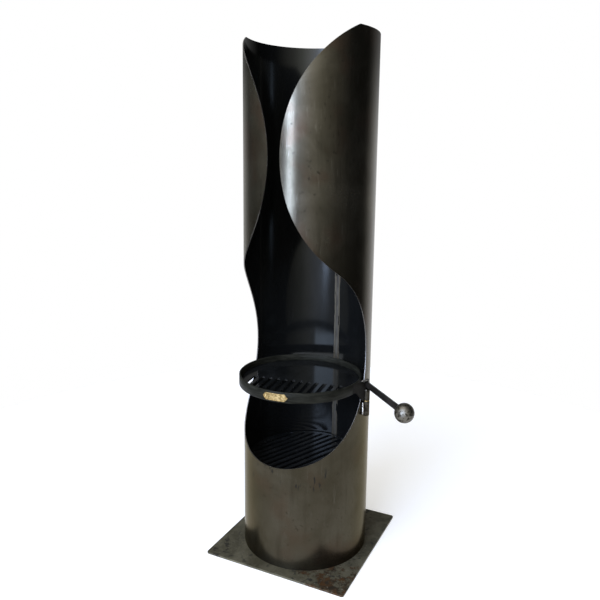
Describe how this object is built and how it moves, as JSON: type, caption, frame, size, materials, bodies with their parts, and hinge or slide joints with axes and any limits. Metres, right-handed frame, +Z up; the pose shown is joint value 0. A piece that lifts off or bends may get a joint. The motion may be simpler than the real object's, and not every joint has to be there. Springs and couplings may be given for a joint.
{
  "type": "chiminea",
  "caption": "Tall open-front steel tube fire on a square base plate, with a wave-shaped opening, a slotted fire grate and a round swing-out barbecue rack with a ball handle.",
  "frame": {"origin": "centre of the base plate's underside, on the tube's centre line", "axes": "+Z up along the tube, the opening faces -Y, the rack's hinge and handle are on the +X side"},
  "size_m": [0.6714, 0.505, 1.588],
  "materials": {
    "shell_steel": "bare rolled mild steel with dark mill scale, lightly oiled",
    "base_steel": "bare mild steel plate with spatter and a little rust",
    "grate_steel": "cut steel plate, dark mill scale",
    "rack_steel": "flat bar with mill scale, satin",
    "rack_plate_steel": "smooth dark steel plate, semi-gloss",
    "hinge_steel": "turned bright steel with heat tint",
    "ball_steel": "solid steel ball, dull polish",
    "weld_metal": "wire-brushed weld bead",
    "brass": "polished brass"
  },
  "bodies": {
    "body": {"base_plate": "base_steel", "body_shell": "shell_steel", "foot_weld": "weld_metal", "seam_weld": "weld_metal", "grate_lug_1": "shell_steel", "grate_lug_2": "shell_steel", "grate_lug_3": "shell_steel", "grate_lug_4": "shell_steel", "hinge_barrel_lower": "hinge_steel", "hinge_pin": "hinge_steel", "hinge_weld_front": "weld_metal", "hinge_weld_back": "weld_metal"},
    "grate": {"fire_grate": "grate_steel"},
    "washer": {"hinge_washer": "brass"},
    "rack": {"hinge_barrel_upper": "hinge_steel", "rack_arm": "rack_steel", "rack_ring": "rack_steel", "rack_plate": "rack_plate_steel", "handle_rod": "rack_steel", "handle_ball": "ball_steel", "badge_plate": "brass", "badge_rivet_left": "brass", "badge_rivet_right": "brass"}
  },
  "joints": [
    {"name": "rack_swing", "type": "hinge", "parent": "body", "child": "washer", "pos_m": [0.2104, -0.002, 0.517], "axis": [0, 0, 1], "range_deg": [-15, 120]},
    {"name": "rack_lift", "type": "slide", "parent": "washer", "child": "rack", "axis": [0, 0, 1], "range_m": [0, 0.06]},
    {"name": "grate_lift", "type": "slide", "parent": "body", "child": "grate", "axis": [0, 0, 1], "range_m": [0, 0.2]}
  ]
}
